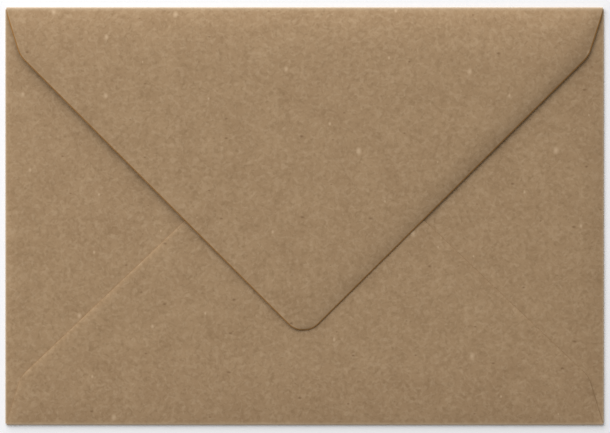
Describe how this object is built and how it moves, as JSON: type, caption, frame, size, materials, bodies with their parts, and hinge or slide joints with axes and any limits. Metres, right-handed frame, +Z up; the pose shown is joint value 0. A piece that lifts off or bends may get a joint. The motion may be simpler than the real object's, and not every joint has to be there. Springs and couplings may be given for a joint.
{
  "type": "envelope",
  "caption": "Kraft paper envelope with a pointed closing flap folded down and left ungummed, lying flat on its front.",
  "frame": {"origin": "middle of the front panel's outer face, which the envelope lies on", "axes": "+X along the long side, to the right of someone who looks at the flaps with the closing flap's fold away from them; +Y towards that fold; +Z up, out of the back with the flaps"},
  "size_m": [0.162, 0.113, 0.0038],
  "materials": {
    "kraft_paper": "uncoated and matt, with fine fibres and flecks"
  },
  "bodies": {
    "root": {"envelope": "kraft_paper"}
  },
  "joints": []
}
